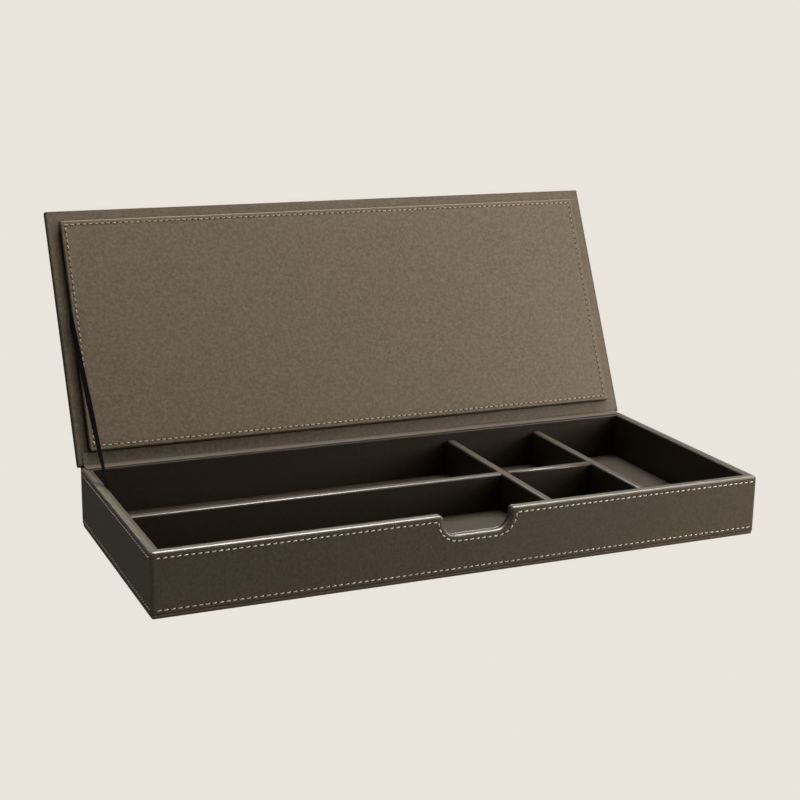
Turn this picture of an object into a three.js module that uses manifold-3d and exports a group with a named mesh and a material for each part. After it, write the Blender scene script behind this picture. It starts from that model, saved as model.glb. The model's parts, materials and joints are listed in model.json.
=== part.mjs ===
// Lidded compartment box, covered in leather: a shallow tray with five compartments, a thumb notch
// in its front wall, and a hinged lid that a ribbon stops when it leans back.
//
// Millimetres, +Z up, +X to the right, +Y to the back. The origin is the middle of the underside.
// The tray and the ribbon lie as they are with the lid open; the lid's group is turned to its open angle.
import * as THREE from "three";
import { mergeVertices } from "three/addons/utils/BufferGeometryUtils.js";
import Module from "manifold-3d";

const wasm = await Module();
wasm.setup();

// ---- Driving dimensions -------------------------------------------------------------------------

const TRAY = { length: 400, depth: 171, height: 39, cornerRadius: 2 };
const LEATHER = 0.75; // thickness of the covering leather
const GLUE = 0.25; // room between a cut or turned piece and what it is glued to
const BASE = { thickness: 1.5, inset: 0.5, grooveHeight: 0.75 };
const WALL_BOARD = 3.25; // core of each outer wall
const LINER = { thickness: 2.5 }; // leather-covered panel glued inside each wall
const CARCASS_FLOOR_TOP = 5.5;
const FLOOR_PANEL = { top: 9, clearance: 0.5 };
const DIVIDER = { thickness: 6, top: 33 };
const LONG_DIVIDER_Y = -2;
const CROSS_DIVIDER_X = [60, 127.5];
const NOTCH = { width: 45, depth: 13.25, bottomRadius: 9.5, topRadius: 2.5 };

const LID = { length: 402, depth: 172, thickness: 4.25, rearEdge: 86.25, gapWhenClosed: 0.75 };
const LID_PAD = { length: 384.5, frontInset: 8, rearInset: 9, thickness: 3.75 };
const LID_OPEN_ANGLE = 116; // degrees from closed
const HINGE = { y: 86.75, z: 38.75 };
const SPINE_LEATHER = 0.5; // thinner leather that bends at the hinge
const HINGE_LINING = { length: 384, thickness: 0.35 };
const RIBBON = { width: 6, thickness: 0.35, x: -193, slopeDegrees: 45, rimY: 41, lowEnd: 24 };

// ---- Values worked out from them ----------------------------------------------------------------

const halfLength = TRAY.length / 2;
const halfDepth = TRAY.depth / 2;
const boardFace = LEATHER; // outer face of the wall boards, in from the outside
const linerBack = LEATHER + WALL_BOARD;
const wallFace = linerBack + LINER.thickness;
const linerBoard = LINER.thickness - LEATHER;
const boardTop = TRAY.height - LEATHER;
const carcassBottom = BASE.thickness;

// ---- Solids -------------------------------------------------------------------------------------

const span = (low, high) => ({ low: new THREE.Vector3(...low), high: new THREE.Vector3(...high) });

function block({ low, high }) {
  const size = high.clone().sub(low);
  const middle = high.clone().add(low).multiplyScalar(0.5);
  return new THREE.BoxGeometry(size.x, size.y, size.z).translate(middle.x, middle.y, middle.z);
}

// A closed outline drawn in the plane across one axis, drawn out along that axis.
const SECTION_PLANES = {
  x: new THREE.Matrix4().makeBasis(
    new THREE.Vector3(0, 1, 0), new THREE.Vector3(0, 0, 1), new THREE.Vector3(1, 0, 0)),
  y: new THREE.Matrix4().makeBasis(
    new THREE.Vector3(1, 0, 0), new THREE.Vector3(0, 0, 1), new THREE.Vector3(0, -1, 0)),
  z: new THREE.Matrix4(),
};

function drawnOut(shape, axis, from, to) {
  const options = { depth: to - from, bevelEnabled: false, curveSegments: 8 };
  const geometry = new THREE.ExtrudeGeometry(shape, options);
  geometry.translate(0, 0, axis === "y" ? -to : from);
  return geometry.applyMatrix4(SECTION_PLANES[axis]);
}

const outline = (points) => new THREE.Shape(points.map(([u, v]) => new THREE.Vector2(u, v)));

function manifoldOf(geometry) {
  const bare = geometry.clone();
  bare.deleteAttribute("normal");
  bare.deleteAttribute("uv");
  const merged = mergeVertices(bare, 1e-4);
  const vertProperties = new Float32Array(merged.attributes.position.array);
  const triVerts = new Uint32Array(merged.index.array);
  return new wasm.Manifold(new wasm.Mesh({ numProp: 3, vertProperties, triVerts }));
}

function geometryOf(manifold) {
  const mesh = manifold.getMesh();
  const geometry = new THREE.BufferGeometry();
  geometry.setAttribute("position", new THREE.BufferAttribute(mesh.vertProperties, 3));
  geometry.setIndex(new THREE.BufferAttribute(mesh.triVerts, 1));
  geometry.computeVertexNormals();
  return geometry;
}

function cut(body, ...tools) {
  return geometryOf(tools.reduce((rest, tool) => rest.subtract(manifoldOf(tool)), manifoldOf(body)));
}

// ---- Materials ----------------------------------------------------------------------------------

const finish = (color, roughness) => new THREE.MeshStandardMaterial({ color, roughness, metalness: 0 });
const OUTER_LEATHER = finish(0x4b4238, 0.5);
const INNER_LEATHER = finish(0x3f362d, 0.55);
const LID_LEATHER = finish(0x6a5f4e, 0.55);
const BOARD = finish(0x8a6f52, 0.85);
const BASE_CLOTH = finish(0x2a2622, 0.95);
const RIBBON_CLOTH = finish(0x1f1a16, 0.6);

function piece(group, name, geometry, material) {
  const mesh = new THREE.Mesh(geometry, material);
  mesh.name = name;
  group.add(mesh);
  return mesh;
}

const box = new THREE.Group();
const tray = new THREE.Group();
box.add(tray);

// ---- Base panel and carcass ---------------------------------------------------------------------

const baseHalfLength = halfLength - BASE.inset;
const baseHalfDepth = halfDepth - BASE.inset;
piece(tray, "base_panel", block(span(
  [-baseHalfLength, -baseHalfDepth, 0],
  [baseHalfLength, baseHalfDepth, BASE.thickness])), BASE_CLOTH);

piece(tray, "carcass_floor", block(span(
  [linerBack - halfLength, linerBack - halfDepth, carcassBottom],
  [halfLength - linerBack, halfDepth - linerBack, CARCASS_FLOOR_TOP])), BOARD);

// The front boards' outline with the thumb notch in their top edge. grow widens the notch all round,
// which leaves room for the leather that is turned over its edges.
function notchPath(shape, top, grow) {
  const half = NOTCH.width / 2 + grow;
  const bottom = TRAY.height - NOTCH.depth - grow;
  const low = NOTCH.bottomRadius + grow;
  const high = NOTCH.topRadius - grow;
  shape.lineTo(-half - high, top);
  shape.absarc(-half - high, top - high, high, Math.PI / 2, 0, true);
  shape.absarc(-half + low, bottom + low, low, Math.PI, 1.5 * Math.PI, false);
  shape.absarc(half - low, bottom + low, low, 1.5 * Math.PI, 2 * Math.PI, false);
  shape.absarc(half + high, top - high, high, Math.PI, Math.PI / 2, true);
}

function notchedPanel(panelHalfLength, bottom, top, grow) {
  const shape = new THREE.Shape();
  shape.moveTo(-panelHalfLength, bottom);
  shape.lineTo(-panelHalfLength, top);
  notchPath(shape, top, grow);
  shape.lineTo(panelHalfLength, top);
  shape.lineTo(panelHalfLength, bottom);
  shape.closePath();
  return shape;
}

const boardHalfLength = halfLength - boardFace;
const boardHalfDepth = halfDepth - boardFace;
const innerHalfLength = halfLength - linerBack;
const innerHalfDepth = halfDepth - linerBack;
const notchRoom = LEATHER + GLUE;

piece(tray, "front_wall_board", drawnOut(
  notchedPanel(boardHalfLength, carcassBottom, boardTop, notchRoom),
  "y", -boardHalfDepth, -innerHalfDepth), BOARD);
piece(tray, "back_wall_board", block(span(
  [-boardHalfLength, innerHalfDepth, carcassBottom],
  [boardHalfLength, boardHalfDepth, boardTop])), BOARD);
for (const [name, side] of [["left", -1], ["right", 1]]) {
  const faces = [side * boardHalfLength, side * innerHalfLength].sort((a, b) => a - b);
  piece(tray, `${name}_wall_board`, block(span(
    [faces[0], -innerHalfDepth, carcassBottom],
    [faces[1], innerHalfDepth, boardTop])), BOARD);
}

// ---- Outer cover: one strip of leather round the four walls and over their top edges -------------

function roundedRectangle(halfX, halfY, radius) {
  const shape = new THREE.Shape();
  const corners = [[1, -1, -0.5], [1, 1, 0], [-1, 1, 0.5], [-1, -1, 1]];
  for (const [x, y, start] of corners) {
    const from = start * Math.PI;
    shape.absarc(x * (halfX - radius), y * (halfY - radius), radius, from, from + Math.PI / 2, false);
  }
  shape.closePath();
  return shape;
}

const coverBottom = BASE.thickness + BASE.grooveHeight;
const overCut = 1; // how far a cutting tool runs past what it cuts
piece(tray, "outer_cover", cut(
  drawnOut(roundedRectangle(halfLength, halfDepth, TRAY.cornerRadius), "z", coverBottom, TRAY.height),
  block(span(
    [-innerHalfLength, -innerHalfDepth, 0],
    [innerHalfLength, innerHalfDepth, TRAY.height + overCut])),
  block(span(
    [-boardHalfLength, -innerHalfDepth - overCut / 2, 0],
    [boardHalfLength, boardHalfDepth, boardTop])),
  drawnOut(notchedPanel(boardHalfLength, 0, boardTop, LEATHER), "y", -boardHalfDepth, -innerHalfDepth),
  notchTool()), OUTER_LEATHER);

// The notch's own outline as a cutting tool that runs through the front wall and out of its top.
function notchTool() {
  const shape = new THREE.Shape();
  const past = TRAY.height + overCut;
  const mouth = NOTCH.width / 2 + NOTCH.topRadius;
  shape.moveTo(-mouth, past);
  notchPath(shape, TRAY.height, 0);
  shape.lineTo(mouth, past);
  shape.closePath();
  return drawnOut(shape, "y", -halfDepth - overCut, overCut - halfDepth + wallFace);
}

// ---- Liners: a covered panel inside each wall ---------------------------------------------------

const linerBoardDepth = innerHalfDepth - linerBoard;
const linerFaceDepth = halfDepth - wallFace;
const linerFaceLength = halfLength - wallFace;

piece(tray, "front_liner_board", drawnOut(
  notchedPanel(innerHalfLength, CARCASS_FLOOR_TOP, boardTop, notchRoom),
  "y", -innerHalfDepth, -linerBoardDepth), BOARD);
piece(tray, "front_liner_leather", cut(
  block(span(
    [-innerHalfLength, -innerHalfDepth, CARCASS_FLOOR_TOP],
    [innerHalfLength, -linerFaceDepth, TRAY.height])),
  drawnOut(
    notchedPanel(innerHalfLength + overCut, 0, boardTop, LEATHER),
    "y", -innerHalfDepth - overCut, -linerBoardDepth),
  notchTool()), INNER_LEATHER);

piece(tray, "back_liner_board", block(span(
  [-innerHalfLength, linerBoardDepth, CARCASS_FLOOR_TOP],
  [innerHalfLength, innerHalfDepth, boardTop])), BOARD);
piece(tray, "back_liner_leather", drawnOut(outline([
  [innerHalfDepth, boardTop],
  [innerHalfDepth, TRAY.height],
  [linerFaceDepth, TRAY.height],
  [linerFaceDepth, CARCASS_FLOOR_TOP],
  [linerBoardDepth, CARCASS_FLOOR_TOP],
  [linerBoardDepth, boardTop],
]), "x", -innerHalfLength, innerHalfLength), INNER_LEATHER);

for (const [name, side] of [["left", -1], ["right", 1]]) {
  const back = side * innerHalfLength;
  const boardInside = side * (innerHalfLength - linerBoard);
  const face = side * linerFaceLength;
  const boardSpan = [back, boardInside].sort((a, b) => a - b);
  piece(tray, `${name}_liner_board`, block(span(
    [boardSpan[0], -linerFaceDepth, CARCASS_FLOOR_TOP],
    [boardSpan[1], linerFaceDepth, boardTop])), BOARD);
  piece(tray, `${name}_liner_leather`, drawnOut(outline([
    [back, boardTop],
    [back, TRAY.height],
    [face, TRAY.height],
    [face, CARCASS_FLOOR_TOP],
    [boardInside, CARCASS_FLOOR_TOP],
    [boardInside, boardTop],
  ]), "y", -linerFaceDepth, linerFaceDepth), INNER_LEATHER);
}

// ---- Dividers: boards on edge, with leather over their top and both sides ------------------------

function divider(name, axis, middle, from, to) {
  const half = DIVIDER.thickness / 2;
  const core = half - LEATHER;
  const coreTop = DIVIDER.top - LEATHER;
  piece(tray, `${name}_board`, drawnOut(outline([
    [middle - core, CARCASS_FLOOR_TOP],
    [middle + core, CARCASS_FLOOR_TOP],
    [middle + core, coreTop],
    [middle - core, coreTop],
  ]), axis, from, to), BOARD);
  piece(tray, `${name}_leather`, drawnOut(outline([
    [middle - half, CARCASS_FLOOR_TOP],
    [middle - core, CARCASS_FLOOR_TOP],
    [middle - core, coreTop],
    [middle + core, coreTop],
    [middle + core, CARCASS_FLOOR_TOP],
    [middle + half, CARCASS_FLOOR_TOP],
    [middle + half, DIVIDER.top],
    [middle - half, DIVIDER.top],
  ]), axis, from, to), INNER_LEATHER);
}

const halfDivider = DIVIDER.thickness / 2;
const [middleCross, rightCross] = CROSS_DIVIDER_X;
divider("middle_cross_divider", "y", middleCross, -linerFaceDepth, linerFaceDepth);
divider("right_cross_divider", "y", rightCross, -linerFaceDepth, linerFaceDepth);
divider("left_long_divider", "x", LONG_DIVIDER_Y, -linerFaceLength, middleCross - halfDivider);
divider("middle_long_divider", "x", LONG_DIVIDER_Y,
  middleCross + halfDivider, rightCross - halfDivider);

// ---- Floor panels: a covered card in the bottom of each compartment ------------------------------

const compartments = {
  front_left: [-linerFaceLength, middleCross - halfDivider, -linerFaceDepth, LONG_DIVIDER_Y - halfDivider],
  back_left: [-linerFaceLength, middleCross - halfDivider, LONG_DIVIDER_Y + halfDivider, linerFaceDepth],
  front_middle: [middleCross + halfDivider, rightCross - halfDivider,
    -linerFaceDepth, LONG_DIVIDER_Y - halfDivider],
  back_middle: [middleCross + halfDivider, rightCross - halfDivider,
    LONG_DIVIDER_Y + halfDivider, linerFaceDepth],
  right: [rightCross + halfDivider, linerFaceLength, -linerFaceDepth, linerFaceDepth],
};

for (const [name, [left, right, front, back]] of Object.entries(compartments)) {
  const inside = (inset, bottom, top) => block(span(
    [left + inset, front + inset, bottom],
    [right - inset, back - inset, top]));
  const cardInset = FLOOR_PANEL.clearance + LEATHER;
  const cardTop = FLOOR_PANEL.top - LEATHER;
  piece(tray, `${name}_floor_card`, inside(cardInset, CARCASS_FLOOR_TOP, cardTop), BOARD);
  piece(tray, `${name}_floor_leather`, cut(
    inside(FLOOR_PANEL.clearance, CARCASS_FLOOR_TOP, FLOOR_PANEL.top),
    inside(cardInset, 0, cardTop)), INNER_LEATHER);
}

// ---- Lid: drawn closed, in a group that turns about the hinge ------------------------------------

const lidTurn = new THREE.Group();
lidTurn.position.set(0, HINGE.y, HINGE.z);
lidTurn.rotation.x = -THREE.MathUtils.degToRad(LID_OPEN_ANGLE);
box.add(lidTurn);
const lid = new THREE.Group();
lid.position.set(0, -HINGE.y, -HINGE.z);
lidTurn.add(lid);

const lidInside = TRAY.height + LID.gapWhenClosed;
const lidOutside = lidInside + LID.thickness;
const lidSpan = (inset, bottom, top) => block(span(
  [inset - LID.length / 2, LID.rearEdge - LID.depth + inset, bottom],
  [LID.length / 2 - inset, LID.rearEdge - inset, top]));
const lidBoardInset = LEATHER + GLUE;
const liningTop = lidInside + LEATHER;

piece(lid, "lid_cover", cut(
  lidSpan(0, lidInside, lidOutside),
  lidSpan(LEATHER, lidInside - overCut, lidOutside - LEATHER)), OUTER_LEATHER);
piece(lid, "lid_board", lidSpan(lidBoardInset, liningTop + GLUE, lidOutside - lidBoardInset), BOARD);
piece(lid, "lid_lining", lidSpan(lidBoardInset, lidInside, liningTop), LID_LEATHER);

const padTop = lidInside - GLUE;
const padBottom = lidInside - LID_PAD.thickness;
const padSpan = (inset, bottom, top) => block(span(
  [inset - LID_PAD.length / 2, LID.rearEdge - LID.depth + LID_PAD.frontInset + inset, bottom],
  [LID_PAD.length / 2 - inset, LID.rearEdge - LID_PAD.rearInset - inset, top]));
piece(lid, "lid_pad_board", padSpan(lidBoardInset, padBottom + lidBoardInset, padTop), BOARD);
piece(lid, "lid_pad_leather", cut(
  padSpan(0, padBottom, padTop),
  padSpan(LEATHER, padBottom + LEATHER, padTop + overCut)), LID_LEATHER);

// ---- Hinge leathers and ribbon: as they lie with the lid open ------------------------------------

// A thin strip with the given middle line in the plane across X.
function strip(points, thickness, fromX, toX) {
  const line = points.map(([y, z]) => new THREE.Vector2(y, z));
  const offset = (side) => line.map((point, index) => {
    const before = line[Math.max(index - 1, 0)];
    const after = line[Math.min(index + 1, line.length - 1)];
    const along = after.clone().sub(before).normalize();
    return point.clone().add(new THREE.Vector2(-along.y, along.x).multiplyScalar(side * thickness / 2));
  });
  return drawnOut(new THREE.Shape([...offset(1), ...offset(-1).reverse()]), "x", fromX, toX);
}

// Where a point of the closed lid stands when the lid is open, in the plane across X.
function whenOpen(y, z) {
  const turned = new THREE.Vector2(y, z).rotateAround(
    new THREE.Vector2(HINGE.y, HINGE.z), -THREE.MathUtils.degToRad(LID_OPEN_ANGLE));
  return [turned.x, turned.y];
}

const spineRest = SPINE_LEATHER / 2 + GLUE;
piece(box, "spine_leather", strip([
  [halfDepth + spineRest, 24],
  [halfDepth + spineRest, 31],
  [halfDepth + 1.5, 33],
  [halfDepth + 4, 33.5],
  whenOpen(LID.rearEdge - 1, lidOutside + 1.5),
  whenOpen(LID.rearEdge - 3, lidOutside + spineRest),
  whenOpen(LID.rearEdge - 12, lidOutside + spineRest),
], SPINE_LEATHER, -halfLength, halfLength), OUTER_LEATHER);

const liningRest = HINGE_LINING.thickness / 2 + GLUE;
piece(box, "hinge_lining", strip([
  [linerFaceDepth + 0.5, TRAY.height + liningRest],
  [halfDepth - 1, TRAY.height + liningRest],
  [halfDepth + 0.5, TRAY.height + 0.9],
  whenOpen(LID.rearEdge - 2.5, lidInside - liningRest),
  whenOpen(LID.rearEdge - LID_PAD.rearInset + 0.5, lidInside - liningRest),
], HINGE_LINING.thickness, -HINGE_LINING.length / 2, HINGE_LINING.length / 2), LID_LEATHER);

// The ribbon runs straight from the left wall's inside to the open lid, flat beside the lid's pad.
const slope = THREE.MathUtils.degToRad(RIBBON.slopeDegrees);
const along = new THREE.Vector2(Math.cos(slope), Math.sin(slope));
const across = new THREE.Vector2(-along.y, along.x).multiplyScalar(RIBBON.width / 2);
const rimPoint = new THREE.Vector2(RIBBON.rimY, TRAY.height);
const lowEnd = rimPoint.clone().addScaledVector(along, (RIBBON.lowEnd - TRAY.height) / along.y);
const lidLine = [whenOpen(LID.rearEdge, lidInside - GLUE), whenOpen(0, lidInside - GLUE)]
  .map(([y, z]) => new THREE.Vector2(y, z));
const lidAlong = lidLine[1].clone().sub(lidLine[0]);

function onLid(start) {
  const reach = start.clone().sub(lidLine[0]).cross(lidAlong) / -along.cross(lidAlong);
  return start.clone().addScaledVector(along, reach);
}

const edges = [lowEnd.clone().sub(across), lowEnd.clone().add(across)];
const ribbonShape = new THREE.Shape([edges[0], onLid(edges[0]), onLid(edges[1]), edges[1]]);
piece(box, "stay_ribbon", drawnOut(
  ribbonShape, "x", RIBBON.x - RIBBON.thickness / 2, RIBBON.x + RIBBON.thickness / 2), RIBBON_CLOTH);

export default box;
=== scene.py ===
import json
import math

import bmesh
import bpy
from mathutils import Matrix, Vector


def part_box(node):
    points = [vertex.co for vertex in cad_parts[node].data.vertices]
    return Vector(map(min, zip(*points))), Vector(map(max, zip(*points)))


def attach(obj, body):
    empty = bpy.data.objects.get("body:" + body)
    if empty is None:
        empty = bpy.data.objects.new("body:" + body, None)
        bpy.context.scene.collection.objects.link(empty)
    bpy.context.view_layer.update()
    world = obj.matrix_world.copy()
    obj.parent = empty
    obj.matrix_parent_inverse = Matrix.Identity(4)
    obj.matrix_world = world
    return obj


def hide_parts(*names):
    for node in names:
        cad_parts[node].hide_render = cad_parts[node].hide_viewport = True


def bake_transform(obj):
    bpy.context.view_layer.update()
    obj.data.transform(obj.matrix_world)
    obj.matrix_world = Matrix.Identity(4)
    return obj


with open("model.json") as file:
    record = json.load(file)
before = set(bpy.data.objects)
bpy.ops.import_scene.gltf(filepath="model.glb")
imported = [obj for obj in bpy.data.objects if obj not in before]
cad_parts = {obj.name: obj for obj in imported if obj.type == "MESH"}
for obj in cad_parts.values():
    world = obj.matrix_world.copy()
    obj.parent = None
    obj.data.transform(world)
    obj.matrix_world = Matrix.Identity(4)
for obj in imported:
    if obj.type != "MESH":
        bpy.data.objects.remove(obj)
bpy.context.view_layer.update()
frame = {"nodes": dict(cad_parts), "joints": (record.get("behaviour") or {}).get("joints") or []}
MM = 0.001

# ---- Camera ----
# A standing viewer's eye, in front of the box, to its left and a little above the open lid. The short
# telephoto lens keeps the edges nearly parallel.

CAMERA_TURN = math.radians(23.82)  # to the right of straight back
CAMERA_TILT = math.radians(14.566)  # downwards
CAMERA_ROLL = math.radians(0.902)

camera = bpy.data.objects.new("camera", bpy.data.cameras.new("camera"))
bpy.context.scene.collection.objects.link(camera)
bpy.context.scene.camera = camera
camera.data.sensor_width = 36
camera.data.lens = 71.775
camera.location = (-0.40779, -0.89093, 0.34115)
camera.rotation_euler = (
    Matrix.Rotation(-CAMERA_TURN, 3, "Z")
    @ Matrix.Rotation(math.pi / 2 - CAMERA_TILT, 3, "X")
    @ Matrix.Rotation(CAMERA_ROLL, 3, "Z")).to_euler()

# ---- Floor and backdrop ----
# One sweep of pale paper: a round floor that curves up into a wall all round. It shows its own even
# colour and throws no light on the leather, so the lamps alone model the box.

FLOOR_RADIUS = 4.0
COVE_RADIUS = 1.5
BACKDROP_HEIGHT = 9.0
FLOOR_SIDES = 64
COVE_STEPS = 8


def linear(colour):
    """An sRGB hex colour as linear red, green, blue and alpha."""
    parts = [int(colour[i:i + 2], 16) / 255 for i in (1, 3, 5)]
    return [p / 12.92 if p <= 0.04045 else ((p + 0.055) / 1.055) ** 2.4 for p in parts] + [1.0]


def add_node(tree, kind, values=None, links=None, **settings):
    """Adds a node, sets its properties and its sockets' values, and links its inputs."""
    node = tree.nodes.new(kind)
    for name, value in settings.items():
        setattr(node, name, value)
    for socket, value in (values or {}).items():
        node.inputs[socket].default_value = value
    for socket, (source, output) in (links or {}).items():
        tree.links.new(source.outputs[output], node.inputs[socket])
    return node


def new_material(name):
    material = bpy.data.materials.new(name)
    material.use_nodes = True
    material.node_tree.nodes.clear()
    return material, material.node_tree


def join_loop(bm, lower, upper):
    """Joins two closed loops of the same number of points with a band of faces."""
    count = len(lower)
    for i in range(count):
        following = (i + 1) % count
        bm.faces.new((lower[i], lower[following], upper[following], upper[i]))


# Background paper, lit evenly: a faint tooth is all that its surface shows.
backdrop_paper, tree = new_material("backdrop_paper")
place = add_node(tree, "ShaderNodeTexCoord")
tooth = add_node(tree, "ShaderNodeTexNoise", {"Scale": 900, "Detail": 2}, {"Vector": (place, "Object")})
shade = add_node(tree, "ShaderNodeMix", {6: linear("#EBE6DE"), 7: linear("#E8E4DB")},
                 {0: (tooth, "Fac")}, data_type="RGBA")
glow = add_node(tree, "ShaderNodeEmission", {"Strength": 1.0}, {"Color": (shade, 2)})
add_node(tree, "ShaderNodeOutputMaterial", links={"Surface": (glow, "Emission")})

bm = bmesh.new()
profile = [(FLOOR_RADIUS, 0)]
for step in range(1, COVE_STEPS + 1):
    angle = math.pi / 2 * step / COVE_STEPS
    profile.append((FLOOR_RADIUS + COVE_RADIUS * math.sin(angle), COVE_RADIUS * (1 - math.cos(angle))))
profile.append((FLOOR_RADIUS + COVE_RADIUS, BACKDROP_HEIGHT))
loops = []
for radius, height in profile:
    turns = [2 * math.pi * i / FLOOR_SIDES for i in range(FLOOR_SIDES)]
    loops.append([bm.verts.new((radius * math.cos(a), radius * math.sin(a), height)) for a in turns])
bm.faces.new(loops[0])
for lower, upper in zip(loops, loops[1:]):
    join_loop(bm, lower, upper)
bm.faces.new(loops[-1][::-1])
floor_mesh = bpy.data.meshes.new("floor")
bm.to_mesh(floor_mesh)
bm.free()
floor_mesh.materials.append(backdrop_paper)
floor = bpy.data.objects.new("floor", floor_mesh)
bpy.context.scene.collection.objects.link(floor)
floor.visible_diffuse = False
floor.visible_glossy = False
floor.visible_shadow = False

# ---- Studio light ----
# Soft boxes hang over the box and behind its lid, with weaker ones and a card at the right, and a
# strip box draws the bright lines on the rims. Two low lamps stand in for the light that the table
# throws up, a window lies at the left, and the room fills the rest weakly.

LAMP_AIM = Vector((0, 0, 0.05))
WARM_WHITE = "#FFFAF3"
OFF_THE_TABLE = "#FFF8F0"
WINDOW_BLUE = "#ECF2FF"
FILL_FROM_BELOW = 0.164
FILL_FROM_ABOVE = 0.055

bpy.context.scene.view_settings.view_transform = "Standard"


def add_lamp(name, watts, place, size, length=None, colour=WARM_WHITE):
    """A soft box aimed at the box: square, or a strip where its length is given."""
    lamp = bpy.data.objects.new(name, bpy.data.lights.new(name, "AREA"))
    bpy.context.scene.collection.objects.link(lamp)
    lamp.data.energy = watts
    lamp.data.color = linear(colour)[:3]
    lamp.data.shape = "RECTANGLE" if length else "SQUARE"
    lamp.data.size = size
    if length:
        lamp.data.size_y = length
    lamp.location = place
    lamp.rotation_euler = (LAMP_AIM - Vector(place)).to_track_quat("-Z", "Y").to_euler()


add_lamp("high_soft_box", 34, (0.5, 0.3, 3.0), 1.0)
add_lamp("soft_box_behind_lid", 40, (0.35, 0.6, 1.6), 0.8)
add_lamp("soft_box_at_right", 5.0, (1.2, -0.2, 1.2), 0.5)
add_lamp("white_card_at_right", 4.1, (0.7, -0.35, 0.25), 0.3)
add_lamp("table_glow_right", 1.0, (0.5, -0.5, -0.3), 0.5, colour=OFF_THE_TABLE)
add_lamp("table_glow_left", 0.36, (-0.35, -0.5, -0.3), 0.5, colour=OFF_THE_TABLE)
add_lamp("strip_box_for_the_edges", 32, (1.1, 0.38, 2.2), 0.3, length=1.1)
add_lamp("soft_box_front_right", 3.0, (1.12, -1.06, 1.3), 0.5)
add_lamp("soft_box_behind", 10, (0.0, 1.6, 0.35), 0.6)
add_lamp("window_at_left", 0.7, (-1.0, -0.1, 0.25), 0.6, colour=WINDOW_BLUE)

room = bpy.data.worlds.new("room")
bpy.context.scene.world = room
room.use_nodes = True
room.node_tree.nodes.clear()
tree = room.node_tree
direction = add_node(tree, "ShaderNodeTexCoord")
height = add_node(tree, "ShaderNodeSeparateXYZ", links={0: (direction, "Generated")})
fill = add_node(tree, "ShaderNodeMapRange",
                {"From Min": -1.0, "From Max": 1.0, "To Min": FILL_FROM_BELOW, "To Max": FILL_FROM_ABOVE},
                {"Value": (height, "Z")})
sky = add_node(tree, "ShaderNodeBackground", {"Color": linear("#FFFCF6")}, {"Strength": (fill, "Result")})
add_node(tree, "ShaderNodeOutputWorld", links={"Surface": (sky, "Background")})

# ---- Base panel ----
# A thin board under the carcass, covered in plain book cloth and set in a little from the walls.
# Only its grey-brown edge shows, below the foot of the leather, which is painted nearly black as shade in the
# groove.

BASE_EDGE_RADIUS = 0.4 * MM
BASE_CORNER = 1.5 * MM
CORNER_STEPS = 4
WAVE_SCALE = 0.314  # a wave texture at this scale, divided by a distance, repeats at that distance


def rounded_rectangle(low, high, inset, radius, height):
    """Points of a rectangle's outline at one height, moved in by inset, with rounded corners."""
    arc = max(radius - inset, 0)
    moved = max(inset, radius)
    points = []
    for quarter, (sx, sy) in enumerate(((1, -1), (1, 1), (-1, 1), (-1, -1))):
        centre_x = high[0] - moved if sx > 0 else low[0] + moved
        centre_y = high[1] - moved if sy > 0 else low[1] + moved
        for step in range(CORNER_STEPS + 1):
            angle = math.pi / 2 * (quarter - 1 + step / CORNER_STEPS)
            points.append((centre_x + arc * math.cos(angle), centre_y + arc * math.sin(angle), height))
    return points


def quarter_round(radius, steps=4):
    """Pairs (in from the side, down from the top) round an edge, from the side to the top."""
    angles = [math.pi / 2 * step / steps for step in range(steps + 1)]
    return [(radius * (1 - math.cos(a)), radius * (1 - math.sin(a))) for a in angles]


def put_points(bm, points, polish_and_painted_shade=0.0):
    """Adds points to the mesh. The last value says how far rubbing has polished the leather there, which on
    the outer calf also paints it darker as shade, and below zero how far it is darkened: painted shade in
    grooves, channels, joints and folds and on the shaded sides of edges, and a light darkening all over the
    lid lining's border."""
    layer = bm.verts.layers.float.get("polish_and_painted_shade") or bm.verts.layers.float.new("polish_and_painted_shade")
    verts = [bm.verts.new(point) for point in points]
    for vert in verts:
        vert[layer] = polish_and_painted_shade
    return verts


def capped_loops(bm, loops, polish_and_painted_shade=None):
    """A closed skin from a row of loops, with a flat face over the first and the last."""
    rings = [put_points(bm, loop, polish_and_painted_shade[i] if polish_and_painted_shade else 0.0) for i, loop in enumerate(loops)]
    bm.faces.new(rings[0][::-1])
    for lower, upper in zip(rings, rings[1:]):
        join_loop(bm, lower, upper)
    bm.faces.new(rings[-1])


def make_piece(name, bm, *materials):
    """Turns the finished mesh into an object, smooth across its rounded edges and flat on its faces."""
    bmesh.ops.remove_doubles(bm, verts=bm.verts, dist=1e-7)
    bmesh.ops.recalc_face_normals(bm, faces=bm.faces)
    mesh = bpy.data.meshes.new(name)
    bm.to_mesh(mesh)
    bm.free()
    for material in materials:
        mesh.materials.append(material)
    mesh.polygons.foreach_set("use_smooth", [True] * len(mesh.polygons))
    piece = bpy.data.objects.new(name, mesh)
    bpy.context.scene.collection.objects.link(piece)
    weighted = piece.modifiers.new("flat_faces", "WEIGHTED_NORMAL")
    weighted.weight = 100
    return piece


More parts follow.
